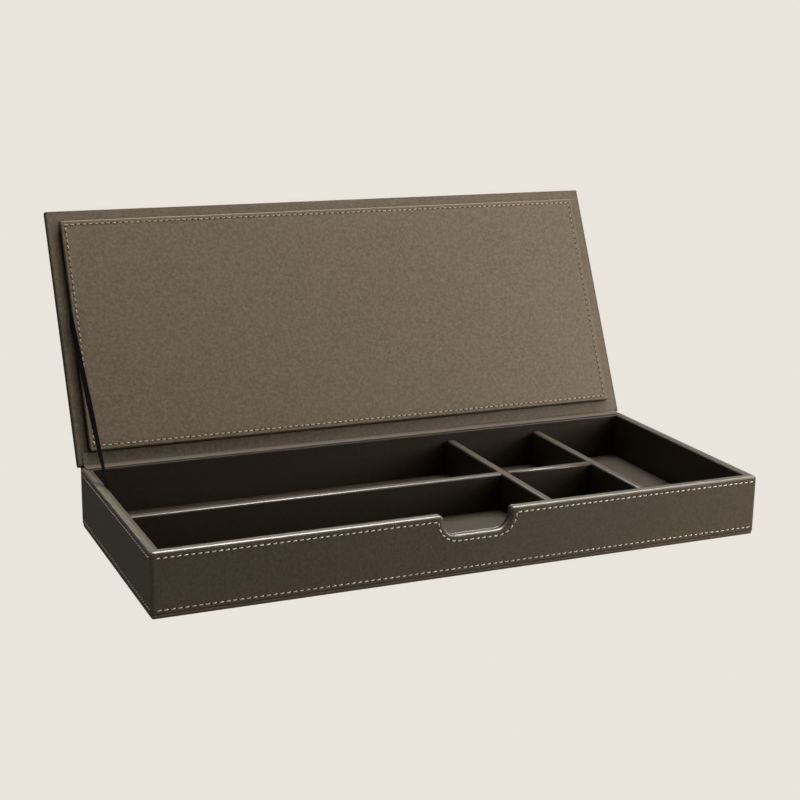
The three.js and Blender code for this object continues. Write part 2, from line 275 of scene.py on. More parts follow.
# Book cloth glued to board: a plain close weave, matt, with threads 0.4 mm apart drawn at 1 mm so
# that they show.
book_cloth, tree = new_material("book_cloth")
place = add_node(tree, "ShaderNodeTexCoord")
thread_wave = {"Scale": WAVE_SCALE / (1.0 * MM), "Distortion": 1.0, "Detail": 2}
warp = add_node(tree, "ShaderNodeTexWave", thread_wave, {"Vector": (place, "Object")}, bands_direction="X")
weft = add_node(tree, "ShaderNodeTexWave", thread_wave, {"Vector": (place, "Object")}, bands_direction="Y")
weave = add_node(tree, "ShaderNodeMath", links={0: (warp, "Fac"), 1: (weft, "Fac")}, operation="MULTIPLY")
threads = add_node(tree, "ShaderNodeMix", {6: linear("#4B4339"), 7: linear("#675C4D")},
                   {0: (weave, "Value")}, data_type="RGBA")
relief = add_node(tree, "ShaderNodeBump", {"Strength": 0.4, "Distance": 0.15 * MM},
                  {"Height": (weave, "Value")})
skin = add_node(tree, "ShaderNodeBsdfPrincipled", {"Roughness": 0.85, "IOR": 1.5, "Sheen Weight": 0.15},
                {"Base Color": (threads, 2), "Normal": (relief, "Normal")})
add_node(tree, "ShaderNodeOutputMaterial", links={"Surface": (skin, "BSDF")})

low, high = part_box("base_panel")
bm = bmesh.new()
edge = quarter_round(BASE_EDGE_RADIUS, 3)
capped_loops(bm, [rounded_rectangle(low, high, side, BASE_CORNER, low.z + down) for side, down in edge[::-1]]
             + [rounded_rectangle(low, high, side, BASE_CORNER, high.z - down) for side, down in edge])
base_panel = make_piece("base_panel_cloth", bm, book_cloth)
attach(base_panel, "tray")
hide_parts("base_panel")

# ---- Boards and cards ----
# The carcass, the liners' and dividers' cores, the lid and its pad are cut from fibreboard, and the
# compartments' floors from grey card. They are glued up square and the leather hides nearly all of them.

# Pressed fibreboard: short brown fibres with darker specks, quite matt. Fibres are 2 mm long.
fibreboard, tree = new_material("pressed_fibreboard")
place = add_node(tree, "ShaderNodeTexCoord")
lying = add_node(tree, "ShaderNodeMapping", {"Scale": (1, 1, 4)}, {"Vector": (place, "Object")})
fibres = add_node(tree, "ShaderNodeTexNoise", {"Scale": 1 / (2 * MM), "Detail": 5, "Roughness": 0.7},
                  {"Vector": (lying, "Vector")})
specks = add_node(tree, "ShaderNodeTexVoronoi", {"Scale": 1 / (1.5 * MM)}, {"Vector": (place, "Object")})
brown = add_node(tree, "ShaderNodeMix", {6: linear("#6E563D"), 7: linear("#A58662")},
                 {0: (fibres, "Fac")}, data_type="RGBA")
relief = add_node(tree, "ShaderNodeBump", {"Strength": 0.5, "Distance": 0.1 * MM},
                  {"Height": (specks, "Distance")})
skin = add_node(tree, "ShaderNodeBsdfPrincipled", {"Roughness": 0.9, "IOR": 1.5},
                {"Base Color": (brown, 2), "Normal": (relief, "Normal")})
add_node(tree, "ShaderNodeOutputMaterial", links={"Surface": (skin, "BSDF")})

# Grey bookbinding card: soft grey-brown pulp, matt, in flecks 1 mm across.
grey_card, tree = new_material("grey_card")
place = add_node(tree, "ShaderNodeTexCoord")
pulp = add_node(tree, "ShaderNodeTexNoise", {"Scale": 1 / (1 * MM), "Detail": 4},
                {"Vector": (place, "Object")})
grey = add_node(tree, "ShaderNodeMix", {6: linear("#75706A"), 7: linear("#A39C92")},
                {0: (pulp, "Fac")}, data_type="RGBA")
relief = add_node(tree, "ShaderNodeBump", {"Strength": 0.3, "Distance": 0.05 * MM},
                  {"Height": (pulp, "Fac")})
skin = add_node(tree, "ShaderNodeBsdfPrincipled", {"Roughness": 0.92, "IOR": 1.5},
                {"Base Color": (grey, 2), "Normal": (relief, "Normal")})
add_node(tree, "ShaderNodeOutputMaterial", links={"Surface": (skin, "BSDF")})

for name, board in frame["nodes"].items():
    if name.endswith("_board") or name == "carcass_floor":
        board.data.materials.clear()
        board.data.materials.append(fibreboard)
    if name.endswith("_card"):
        board.data.materials.clear()
        board.data.materials.append(grey_card)

# ---- Outer cover ----
# One strip of 0.75 mm calf leather, glued round the four wall boards and turned over their top edges
# and round the thumb notch. Its edges are rubbed round, and two shallow channels take the stitching.

LEATHER = 0.75 * MM
TRAY_CORNER = 2.0 * MM
RIM_RADIUS = 1.8 * MM
LIP_RADIUS = 0.12 * MM
NOTCH_LIP_RADIUS = 0.7 * MM  # the edges beside the groove between cover and liner, in the notch
NOTCH_GAP = 0.4 * MM  # how far each of them stands off the groove's middle
NOTCH_LIP_FOOT = 0.95 * MM
TOP_ROW = 3.4 * MM  # from the rim down to the upper row of stitches
BOTTOM_ROW = 5.0 * MM  # from the underside of the box up to the lower row
CHANNEL_HALF_WIDTH = 0.35 * MM
CHANNEL_DEPTH = 0.18 * MM
MITRE_HALF_WIDTH = 0.4 * MM
MITRE_DEPTH = 0.22 * MM
NOTCH_HALF_WIDTH = 22.5 * MM
NOTCH_DEPTH = 13.25 * MM
NOTCH_TOP_RADIUS = 2.5 * MM
NOTCH_BOTTOM_RADIUS = 9.5 * MM
NOTCH_START = 27.5 * MM  # where the rim is still straight, beside the notch
FOOT_PAINTED_SHADE = -0.8  # the leather's cut edge at the foot is painted nearly black, as shade in the groove above the base panel
FOOT_POINTS = ((LEATHER, 0, FOOT_PAINTED_SHADE), (0.4 * MM, 0, FOOT_PAINTED_SHADE), (0.12 * MM, 0.12 * MM, FOOT_PAINTED_SHADE),
               (0, 0.6 * MM, FOOT_PAINTED_SHADE), (0, 0.9 * MM, 0.0))  # inward, up, and the painted shade there
# Painted shade along the bottom of each stitch channel.
CHANNEL_PAINTED_SHADE = -0.5
RIM_POLISH_AND_SHADE = (0.0, 0.35, 0.8, 1.0, 0.6)  # polish from the outer face over the edge, which on the outer calf also paints the rim darker as shade
# The rim's flat top is polished too, and on the outer calf painted darker as shade.
LIP_POLISH_AND_SHADE = 0.8
# Painted shade in the groove between the cover's lip and the liner.
GROOVE_PAINTED_SHADE = -0.9
# The nearly black colour that painted shade mixes into the leather.
PAINTED_SHADE_COLOUR = "#0B0805"
POLISH_GAIN = 1.2  # so that the rubbed edges reach a full gloss a little before their crown
PEBBLE_DRIFT = 0.0006  # a small share of noise in the place, so that no pebble is a neat polygon

cover_low, cover_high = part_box("outer_cover")
rim = cover_high.z
lip = cover_high.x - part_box("right_liner_leather")[1].x  # from the outer face in to the liner's back


def notch_outline(drop):
    """The thumb notch's edge from left to right as x, z pairs, moved by drop into the wall."""
    arc = max(NOTCH_TOP_RADIUS - drop, 0)
    moved = max(drop, NOTCH_TOP_RADIUS)
    half = []
    for step in range(CORNER_STEPS + 1):
        angle = math.pi / 2 * (1 - step / CORNER_STEPS)
        half.append((-NOTCH_HALF_WIDTH - moved + arc * math.cos(angle), rim - moved + arc * math.sin(angle)))
    for step in range(9):
        angle = math.pi * (1 + step / 16)
        reach = NOTCH_BOTTOM_RADIUS + drop
        half.append((-NOTCH_HALF_WIDTH + NOTCH_BOTTOM_RADIUS + reach * math.cos(angle),
                     rim - NOTCH_DEPTH + NOTCH_BOTTOM_RADIUS + reach * math.sin(angle)))
    return half + [(-x, z) for x, z in reversed(half)]


def wall_ring(bm, inward, drop, notched=True, mitre=0.0, polish_and_painted_shade=0.0, in_notch=None):
    """A ring of points round the walls, inward from the outer face and drop below the rim.
    Returns the front wall's points and the rest, from the front right corner round to the front left.
    in_notch gives another inward and drop for the points in the thumb notch."""
    half_x, half_y = cover_high.x, cover_high.y
    moved = max(inward, TRAY_CORNER)
    arc = TRAY_CORNER - inward if inward < TRAY_CORNER else 0
    height = rim - drop
    beside = moved + MITRE_HALF_WIDTH
    front = [(beside - half_x, inward - half_y, height)]
    if notched:
        notch_inward, notch_drop = in_notch or (inward, drop)
        front.append((-NOTCH_START, inward - half_y, height))
        front += [(x, notch_inward - half_y, z) for x, z in notch_outline(notch_drop)]
        front.append((NOTCH_START, inward - half_y, height))
    front.append((half_x - beside, inward - half_y, height))
    rest = []
    for quarter, (sx, sy) in enumerate(((1, -1), (1, 1), (-1, 1), (-1, -1))):
        along_x = (sx * (half_x - beside), sy * (half_y - inward), height)
        along_y = (sx * (half_x - inward), sy * (half_y - beside), height)
        turn = []
        for step in range(CORNER_STEPS + 1):
            angle = math.pi / 2 * (quarter - 1 + step / CORNER_STEPS)
            sunk = mitre if step == CORNER_STEPS // 2 or arc == 0 else 0
            turn.append((sx * (half_x - moved) + arc * math.cos(angle),
                         sy * (half_y - moved) + arc * math.sin(angle), height - sunk))
        before, after = (along_x, along_y) if sx * sy < 0 else (along_y, along_x)
        rest += ([] if quarter == 0 else [before]) + turn + ([] if quarter == 3 else [after])
    return put_points(bm, front, polish_and_painted_shade), put_points(bm, rest, polish_and_painted_shade)


def join_wall_rings(bm, rings):
    """Joins each ring round the walls to the next, and closes the last one to the first."""
    for lower, upper in zip(rings, rings[1:] + rings[:1]):
        ends = [[ring[0][-1]] + ring[1] + [ring[0][0]] for ring in (lower, upper)]
        for i in range(len(ends[0]) - 1):
            bm.faces.new((ends[0][i], ends[0][i + 1], ends[1][i + 1], ends[1][i]))
        if len(lower[0]) == len(upper[0]):
            for i in range(len(lower[0]) - 1):
                bm.faces.new((lower[0][i], lower[0][i + 1], upper[0][i + 1], upper[0][i]))
        else:
            bm.faces.new(lower[0] + upper[0][::-1])


def make_leather(name, colours, grain, roughness, polish_and_shade_tone):
    """Dyed calf leather. colours are two shades that drift in wide clouds, first and last, with a
    mottle of the middle one over them, and grain is its pebbles' width."""
    material, tree = new_material(name)
    place = add_node(tree, "ShaderNodeTexCoord")
    drift = add_node(tree, "ShaderNodeTexNoise", {"Scale": 1 / (2 * grain), "Detail": 2},
                     {"Vector": (place, "Object")})
    bent = add_node(tree, "ShaderNodeMix", {0: PEBBLE_DRIFT},
                    {4: (place, "Object"), 5: (drift, "Color")}, data_type="VECTOR")
    pebbles = add_node(tree, "ShaderNodeTexVoronoi", {"Scale": 1 / grain, "Randomness": 0.9},
                       {"Vector": (bent, 1)}, feature="DISTANCE_TO_EDGE")
    pores = add_node(tree, "ShaderNodeTexNoise", {"Scale": 1 / (0.5 * grain), "Detail": 3, "Roughness": 0.6},
                     {"Vector": (place, "Object")})
    clouds = add_node(tree, "ShaderNodeTexNoise", {"Scale": 1 / (45 * MM), "Detail": 3, "Roughness": 0.55},
                      {"Vector": (place, "Object")})
    mottle = add_node(tree, "ShaderNodeTexNoise", {"Scale": 1 / (2.2 * MM), "Detail": 4, "Roughness": 0.7},
                      {"Vector": (place, "Object")})
    blotch = add_node(tree, "ShaderNodeMapRange", {"From Min": 0.36, "From Max": 0.64},
                      {"Value": (mottle, "Fac")})
    creases = add_node(tree, "ShaderNodeMapRange", {"From Max": 0.12, "To Min": 0.0, "To Max": 1.0},
                       {"Value": (pebbles, "Distance")})
    dye = add_node(tree, "ShaderNodeMix", {6: linear(colours[0]), 7: linear(colours[2])},
                   {0: (clouds, "Fac")}, data_type="RGBA")
    spotted = add_node(tree, "ShaderNodeMix", {7: linear(colours[1])},
                       {0: (blotch, "Result"), 6: (dye, 2)}, data_type="RGBA")
    # Painted shade in the grain: the colour darkens along the creases between the pebbles.
    grain_crease_shade = add_node(tree, "ShaderNodeMapRange", {"From Max": 1.0, "To Min": 0.86, "To Max": 1.0},
                         {"Value": (creases, "Result")})
    grained = add_node(tree, "ShaderNodeMix", {0: 1.0}, {6: (spotted, 2), 7: (grain_crease_shade, "Result")},
                       data_type="RGBA", blend_type="MULTIPLY")
    polish_and_painted_shade = add_node(tree, "ShaderNodeAttribute", attribute_name="polish_and_painted_shade")
    patchy = add_node(tree, "ShaderNodeMapRange",
                      {"From Min": 0.3, "From Max": 0.7, "To Min": 0.55, "To Max": 1.0},
                      {"Value": (mottle, "Fac")})
    painted_tone_share = add_node(tree, "ShaderNodeMath", links={0: (polish_and_painted_shade, "Fac"), 1: (patchy, "Result")},
                      operation="MULTIPLY")
    # Where the leather is polished it takes the tone given with it; on the outer calf that darker tone is
    # painted shade on the lit rims.
    with_painted_tone = add_node(tree, "ShaderNodeMix", {7: linear(polish_and_shade_tone)},
                       {0: (painted_tone_share, "Value"), 6: (grained, 2)}, data_type="RGBA")
    # Below zero the leather is mixed towards the nearly black colour: painted shade.
    painted_shade_share = add_node(tree, "ShaderNodeMath", {1: -1.0}, {0: (polish_and_painted_shade, "Fac")},
                      operation="MULTIPLY", use_clamp=True)
    colour = add_node(tree, "ShaderNodeMix", {7: linear(PAINTED_SHADE_COLOUR)},
                      {0: (painted_shade_share, "Value"), 6: (with_painted_tone, 2)}, data_type="RGBA")
    shine = add_node(tree, "ShaderNodeMapRange", {"To Min": roughness + 0.08, "To Max": roughness - 0.08},
                     {"Value": (pores, "Fac")})
    fine = add_node(tree, "ShaderNodeBump", {"Strength": 0.25, "Distance": 0.05 * MM},
                    {"Height": (pores, "Fac")})
    grainy = add_node(tree, "ShaderNodeBump", {"Strength": 0.35, "Distance": 0.12 * MM},
                      {"Height": (creases, "Result"), "Normal": (fine, "Normal")})
    soft = add_node(tree, "ShaderNodeBump", {"Strength": 0.5, "Distance": 0.6 * MM},
                    {"Height": (clouds, "Fac"), "Normal": (grainy, "Normal")})
    polished = add_node(tree, "ShaderNodeMath", {1: POLISH_GAIN}, {0: (polish_and_painted_shade, "Fac")},
                        operation="MULTIPLY", use_clamp=True)
    skin = add_node(tree, "ShaderNodeBsdfPrincipled",
                    {"IOR": 1.5, "Specular IOR Level": 0.3, "Coat Roughness": 0.28, "Coat IOR": 1.5},
                    {"Base Color": (colour, 2), "Roughness": (shine, "Result"), "Normal": (soft, "Normal"),
                     "Coat Weight": (polished, "Value")})
    add_node(tree, "ShaderNodeOutputMaterial", links={"Surface": (skin, "BSDF")})
    return material


# Brown calf, aniline dyed and glazed: a fine pebbled grain, a soft gloss, and shinier where it is rubbed.
# There its colour turns darker, painted shade on the lit rims.
# The real pebbles are about 0.6 mm across and are drawn at 1.1 mm so that they show.
outer_calf = make_leather("glazed_brown_calf", ("#4D4336", "#5F5443", "#564B3C"), 1.1 * MM, 0.5, "#3D3831")

bm = bmesh.new()
rings = []
bottom = rim - cover_low.z
for inward, up, polish_and_painted_shade in FOOT_POINTS:
    rings.append(wall_ring(bm, inward, bottom - up, notched=False, polish_and_painted_shade=polish_and_painted_shade))
channel = ((-CHANNEL_HALF_WIDTH, 0, 0.0), (0, CHANNEL_DEPTH, CHANNEL_PAINTED_SHADE), (CHANNEL_HALF_WIDTH, 0, 0.0))
for offset, depth, polish_and_painted_shade in channel:
    rings.append(wall_ring(bm, depth, rim - BOTTOM_ROW - offset, notched=False, polish_and_painted_shade=polish_and_painted_shade))
for offset, depth, polish_and_painted_shade in channel[::-1]:
    rings.append(wall_ring(bm, depth, TOP_ROW + offset, polish_and_painted_shade=polish_and_painted_shade))
for (side, down), polish_and_painted_shade in zip(quarter_round(RIM_RADIUS), RIM_POLISH_AND_SHADE):
    rings.append(wall_ring(bm, side, down, polish_and_painted_shade=polish_and_painted_shade))
rings.append(wall_ring(bm, TRAY_CORNER, 0, mitre=MITRE_DEPTH, polish_and_painted_shade=LIP_POLISH_AND_SHADE))
for (side, down), (notch_side, notch_down) in zip(quarter_round(LIP_RADIUS, 3)[::-1],
                                                  quarter_round(NOTCH_LIP_RADIUS, 3)[::-1]):
    rings.append(wall_ring(bm, lip - side, down, mitre=MITRE_DEPTH, polish_and_painted_shade=LIP_POLISH_AND_SHADE,
                           in_notch=(lip - NOTCH_GAP - notch_side, notch_down)))
rings.append(wall_ring(bm, lip, LEATHER, polish_and_painted_shade=GROOVE_PAINTED_SHADE, in_notch=(lip - NOTCH_GAP, NOTCH_LIP_FOOT)))
rings.append(wall_ring(bm, LEATHER, LEATHER, in_notch=(LEATHER, NOTCH_LIP_FOOT)))
join_wall_rings(bm, rings)
outer_cover = make_piece("outer_cover_leather", bm, outer_calf)
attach(outer_cover, "tray")
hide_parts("outer_cover")

# ---- Stitching on the walls ----
# Waxed linen thread, saddle stitched by hand in a row under the rim, which follows the notch, and a
# row above the base. Each stitch is a short, slightly slanted run of thread between two needle holes, which
# are dark plugs painted with shade.

STITCH_PITCH = 4.0 * MM
STITCH_LENGTH = 2.75 * MM
THREAD_RADIUS = 0.34 * MM
THREAD_SLANT = 0.12
WALL_HOLE = (0.5 * MM, 0.24 * MM)  # half the length and half the width of a needle hole
HOLE_LIFT = 0.02 * MM  # it lies just above the leather, so that it is never buried
HOLE_DEPTH = 0.25 * MM
ROUND_STEPS = 6
# Along a stitch: the place as a share of its length, and the height of its middle and its thickness
# as shares of the thread's radius. It dives into the holes at both ends.
STITCH_SHAPE = ((-0.50, -0.9, 0.45), (-0.44, 0.1, 0.85), (-0.25, 0.75, 1.0), (0.0, 0.95, 1.05),
                (0.25, 0.75, 1.0), (0.44, 0.1, 0.85), (0.50, -0.9, 0.45))


def spread_evenly(path, pitch, closed=False):
    """Places at an even pitch near the one given along a line of points, as (point, direction)."""
    points = path + path[:1] if closed else path
    lengths = [(b - a).length for a, b in zip(points, points[1:])]
    total = sum(lengths)
    count = max(round(total / pitch), 1)
    places = []
    run = 0.0
    segment = 0
    for i in range(count):
        wanted = (i + 0.5) * total / count
        while run + lengths[segment] < wanted:
            run += lengths[segment]
            segment += 1
        along = (points[segment + 1] - points[segment]).normalized()
        places.append((points[segment] + along * (wanted - run), along))
    return places


def round_points(bm, centre, one_way, other_way):
    """A ring of points round a centre, with its two half widths given as directions."""
    return [bm.verts.new(centre + one_way * math.cos(a) + other_way * math.sin(a))
            for a in (2 * math.pi / ROUND_STEPS * i for i in range(ROUND_STEPS))]


def sew(bm, path, outward, closed=False, sunk=CHANNEL_DEPTH, hole=WALL_HOLE):
    """Adds a row of stitches along a line on a surface, and in each gap a needle hole, a small dark plug
    whose colour is painted shade.
    """
    outward = Vector(outward)
    for middle, along in spread_evenly([Vector(p) for p in path], STITCH_PITCH, closed):
        across = outward.cross(along)
        slanted = (along + across * THREAD_SLANT).normalized()
        wide = outward.cross(slanted)
        foot = middle - outward * sunk
        rings = []
        for reach, height, thick in STITCH_SHAPE:
            centre = foot + slanted * (reach * STITCH_LENGTH) + outward * (height * THREAD_RADIUS)
            half = thick * THREAD_RADIUS
            rings.append(round_points(bm, centre, wide * half, outward * half))
        for ring, following in zip(rings, rings[1:]):
            join_loop(bm, ring, following)
        bm.faces.new(rings[0][::-1])
        bm.faces.new(rings[-1])
        gap = middle + along * (STITCH_PITCH / 2)
        mouth = round_points(bm, gap + outward * HOLE_LIFT, along * hole[0], across * hole[1])
        end = round_points(bm, gap - outward * HOLE_DEPTH, along * hole[0], across * hole[1])
        faces = [bm.faces.new(mouth), bm.faces.new(end[::-1])]
        for i in range(ROUND_STEPS):
            following = (i + 1) % ROUND_STEPS
            faces.append(bm.faces.new((mouth[i], end[i], end[following], mouth[following])))
        for face in faces:
            face.material_index = 1


def make_thread(name, shades):
    """Waxed linen thread in two shades, with the twist of its plies every 0.8 mm and a low wax shine."""
    material, tree = new_material(name)
    place = add_node(tree, "ShaderNodeTexCoord")
    plies = add_node(tree, "ShaderNodeTexWave",
                     {"Scale": WAVE_SCALE / (0.8 * MM), "Distortion": 2.0, "Detail": 1},
                     {"Vector": (place, "Object")}, bands_direction="DIAGONAL")
    colour = add_node(tree, "ShaderNodeMix", {6: linear(shades[0]), 7: linear(shades[1])},
                      {0: (plies, "Fac")}, data_type="RGBA")
    relief = add_node(tree, "ShaderNodeBump", {"Strength": 0.5, "Distance": 0.08 * MM},
                      {"Height": (plies, "Fac")})
    skin = add_node(tree, "ShaderNodeBsdfPrincipled", {"Roughness": 0.6, "IOR": 1.5, "Sheen Weight": 0.1},
                    {"Base Color": (colour, 2), "Normal": (relief, "Normal")})
    add_node(tree, "ShaderNodeOutputMaterial", links={"Surface": (skin, "BSDF")})
    return material


# Cream linen, a little yellow with its beeswax: small bright dashes against the brown.
linen_thread = make_thread("waxed_cream_linen_thread", ("#D8CDAF", "#FFF7E4"))

# Painted shade in a needle hole, on a plug over its mouth: nearly black, matt, broken by the torn fibres.
needle_hole, tree = new_material("needle_hole_shadow")
place = add_node(tree, "ShaderNodeTexCoord")
torn = add_node(tree, "ShaderNodeTexNoise", {"Scale": 1 / (0.4 * MM), "Detail": 2},
                {"Vector": (place, "Object")})
dark = add_node(tree, "ShaderNodeMix", {6: linear("#0E0B08"), 7: linear("#2A231C")},
                {0: (torn, "Fac")}, data_type="RGBA")
skin = add_node(tree, "ShaderNodeBsdfPrincipled", {"Roughness": 0.9, "IOR": 1.5}, {"Base Color": (dark, 2)})
add_node(tree, "ShaderNodeOutputMaterial", links={"Surface": (skin, "BSDF")})

half_x, half_y = cover_high.x, cover_high.y
row_end = 2.5 * MM  # the rows on neighbouring walls stop short of the corner
bm = bmesh.new()
row_height = rim - TOP_ROW
sew(bm, [(row_end - half_x, -half_y, row_height)]
    + [(x, -half_y, z) for x, z in notch_outline(TOP_ROW)]
    + [(half_x - row_end, -half_y, row_height)], (0, -1, 0))
for height in (row_height, BOTTOM_ROW):
    if height == BOTTOM_ROW:
        sew(bm, [(row_end - half_x, -half_y, height), (half_x - row_end, -half_y, height)], (0, -1, 0))
    sew(bm, [(half_x, row_end - half_y, height), (half_x, half_y - row_end, height)], (1, 0, 0))
    sew(bm, [(half_x - row_end, half_y, height), (row_end - half_x, half_y, height)], (0, 1, 0))
    sew(bm, [(-half_x, half_y - row_end, height), (-half_x, row_end - half_y, height)], (-1, 0, 0))
wall_stitches = make_piece("wall_stitching", bm, linen_thread, needle_hole)
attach(wall_stitches, "tray")

# ---- Liners ----
# A leather-covered panel glued inside each wall, with its top level with the rim. The panels meet in
# mitres at the corners, and their rounded tops leave a fine groove beside the outer cover's lip.

LINER_RADIUS = 1.2 * MM
LINER_GAP = 0.02 * MM
LINER_POLISH = (0.7, 1.0, 0.7, 0.3, 0.0)  # from the top over the edge and down

# The same calf made darker for the inside, as painted shade for the box's shaded interior, a little more
# matt.
lining_calf = make_leather("dark_lining_calf", ("#271F16", "#31281B", "#2B2318"), 1.1 * MM, 0.5, "#302A23")

liner_face = cover_high.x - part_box("right_liner_leather")[0].x
liner_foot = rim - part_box("right_liner_leather")[0].z
bm = bmesh.new()
rings = []
back = lip + LINER_GAP
rings.append(wall_ring(bm, back, LEATHER, polish_and_painted_shade=GROOVE_PAINTED_SHADE, in_notch=(back + NOTCH_GAP, NOTCH_LIP_FOOT)))
for (side, down), (notch_side, notch_down) in zip(quarter_round(LIP_RADIUS, 3),
                                                  quarter_round(NOTCH_LIP_RADIUS, 3)):
    rings.append(wall_ring(bm, back + side, down, mitre=MITRE_DEPTH, polish_and_painted_shade=LIP_POLISH_AND_SHADE,
                           in_notch=(back + NOTCH_GAP + notch_side, notch_down)))
for (side, down), polish_and_painted_shade in zip(quarter_round(LINER_RADIUS)[::-1], LINER_POLISH):
    rings.append(wall_ring(bm, liner_face - side, down, mitre=MITRE_DEPTH * (down == 0), polish_and_painted_shade=polish_and_painted_shade))
rings.append(wall_ring(bm, liner_face, liner_foot, notched=False))
rings.append(wall_ring(bm, liner_face - LEATHER, liner_foot, notched=False))
rings.append(wall_ring(bm, liner_face - LEATHER, LEATHER, in_notch=(liner_face - LEATHER, NOTCH_LIP_FOOT)))
join_wall_rings(bm, rings)
liners = make_piece("wall_liner_leathers", bm, lining_calf)
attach(liners, "tray")
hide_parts("front_liner_leather", "back_liner_leather", "left_liner_leather", "right_liner_leather")

# ---- Dividers ----
# Boards on edge with leather drawn over their top and both sides: two run from front to back, and
# two shorter ones lie between them and the left wall. Rubbing has rounded and polished their tops.

DIVIDER_RADIUS = 1.5 * MM
DIVIDER_POLISH = (0.0, 0.1, 0.4, 0.7, 0.7, 0.5)  # from the foot up to the middle of the top


def arch_profile(low_u, high_u, foot, top, radius):
    """A board's leather in section: over its top and down both sides, with its worn values."""
    outside = [(low_u, foot)] + [(low_u + side, top - down) for side, down in quarter_round(radius)]
    outside += [(high_u - side, top - down) for side, down in quarter_round(radius)[::-1]] + [(high_u, foot)]
    inside = [(high_u - LEATHER, foot), (high_u - LEATHER, top - LEATHER),
              (low_u + LEATHER, top - LEATHER), (low_u + LEATHER, foot)]
    return list(zip(outside + inside, DIVIDER_POLISH + DIVIDER_POLISH[::-1] + (0.0,) * len(inside)))


for name in ("middle_cross_divider", "right_cross_divider", "left_long_divider", "middle_long_divider"):
    low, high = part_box(name + "_leather")
    lengthways = high.x - low.x > high.y - low.y
    span = (low.y, high.y) if lengthways else (low.x, high.x)
    bm = bmesh.new()
    ends = [[], []]
    for (u, z), rubbing in arch_profile(*span, low.z, high.z, DIVIDER_RADIUS):
        for end, reach in zip(ends, (low, high)):
            point = (reach.x, u, z) if lengthways else (u, reach.y, z)
            end += put_points(bm, [point], rubbing)
    bm.faces.new(ends[0])
    join_loop(bm, ends[0], ends[1])
    bm.faces.new(ends[1][::-1])
    divider = make_piece(name + "_cover", bm, lining_calf)
    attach(divider, "tray")
    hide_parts(name + "_leather")

# ---- Compartment floors ----
# A card cut to each compartment, covered in the lining leather with its edges turned under, and
# pressed down onto the carcass floor. The leather swells a little over the card.

FLOOR_RADIUS_AT_EDGE = 0.8 * MM
FLOOR_SWELL = 0.15 * MM
FLOOR_CORNER = 1 * MM
FLOOR_RISE = ((3, 0.4), (8, 0.8), (18, 1.0))  # mm in from the edge, and the share of the swell there
FLOOR_POLISH = (0.0, 0.1, 0.3, 0.4, 0.2)  # from the side over the edge

for name in ("front_left", "back_left", "front_middle", "back_middle", "right"):
    low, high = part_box(name + "_floor_leather")
    bm = bmesh.new()
    loops = [rounded_rectangle(low, high, LEATHER, FLOOR_CORNER, high.z - LEATHER),
             rounded_rectangle(low, high, LEATHER, FLOOR_CORNER, low.z),
             rounded_rectangle(low, high, 0, FLOOR_CORNER, low.z)]
    loops += [rounded_rectangle(low, high, side, FLOOR_CORNER, high.z - down)
              for side, down in quarter_round(FLOOR_RADIUS_AT_EDGE)]
    loops += [rounded_rectangle(low, high, inset * MM, FLOOR_CORNER, high.z + FLOOR_SWELL * share)
              for inset, share in FLOOR_RISE]
    capped_loops(bm, loops, (0.0,) * 3 + FLOOR_POLISH + (0.0,) * len(FLOOR_RISE))
    floor_cover = make_piece(name + "_floor_cover", bm, lining_calf)
    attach(floor_cover, "tray")
    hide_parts(name + "_floor_leather")

# ---- Lid cover ----
# Leather drawn over the lid's board and turned in round its four edges. The lid is drawn closed, and
# turned about the hinge to its open rest, where the ribbon holds it.

LID_CORNER = 1.2 * MM
LID_EDGE_RADIUS = 1.3 * MM
TURN_IN_RADIUS = 0.9 * MM
LID_ROW = 4.0 * MM
TURN_IN = 0.95 * MM  # how far the leather comes in over the board's underside
TURN_IN_PAINTED_SHADE = (-0.1, -0.4, -0.8, -0.9)  # painted shade on its turned-in edge, darkest where it faces outwards
LID_EDGE_SHADE_AND_POLISH = (-0.8, -0.5, 0.0, 0.3, 0.2)  # painted shade on the side, then polish over the edge

hinge = frame["joints"][0]
pivot = Vector(hinge["pos_m"])
open_angle = math.radians(max(hinge["range_deg"], key=abs))
closed_to_open = (Matrix.Translation(pivot) @ Matrix.Rotation(-open_angle, 4, Vector(hinge["axis"]))
                  @ Matrix.Translation(-pivot))
open_to_closed = closed_to_open.inverted()


def closed_box(node):
    """The lowest and highest corner of one of the lid's CAD nodes with the lid closed."""
    corners = [open_to_closed @ v.co for v in frame["nodes"][node].data.vertices]
    return (Vector(min(c[i] for c in corners) for i in range(3)),
            Vector(max(c[i] for c in corners) for i in range(3)))


def opened(bm):
    bmesh.ops.transform(bm, matrix=closed_to_open, verts=bm.verts)
    return bm


low, high = closed_box("lid_cover")
lid_low, lid_high = low, high
bm = bmesh.new()
section = [(LEATHER, high.z - LEATHER, 0.0), (TURN_IN, low.z + 0.9 * MM, 0.0),
           (TURN_IN, low.z + 0.2 * MM, 0.0)]
section += [(side, low.z + down, polish_and_painted_shade)
            for (side, down), polish_and_painted_shade in zip(quarter_round(TURN_IN_RADIUS, 3)[::-1], TURN_IN_PAINTED_SHADE)]
section += [(side, high.z - down, polish_and_painted_shade)
            for (side, down), polish_and_painted_shade in zip(quarter_round(LID_EDGE_RADIUS), LID_EDGE_SHADE_AND_POLISH)]
section += [(LID_ROW - CHANNEL_HALF_WIDTH, high.z, 0.0), (LID_ROW, high.z - CHANNEL_DEPTH, 0.0),
            (LID_ROW + CHANNEL_HALF_WIDTH, high.z, 0.0)]
capped_loops(bm, [rounded_rectangle(low, high, inset, LID_CORNER, z) for inset, z, polish_and_painted_shade in section],
             [polish_and_painted_shade for inset, z, polish_and_painted_shade in section])
lid_cover = make_piece("lid_cover_leather", opened(bm), outer_calf)
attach(lid_cover, "lid")
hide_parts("lid_cover")

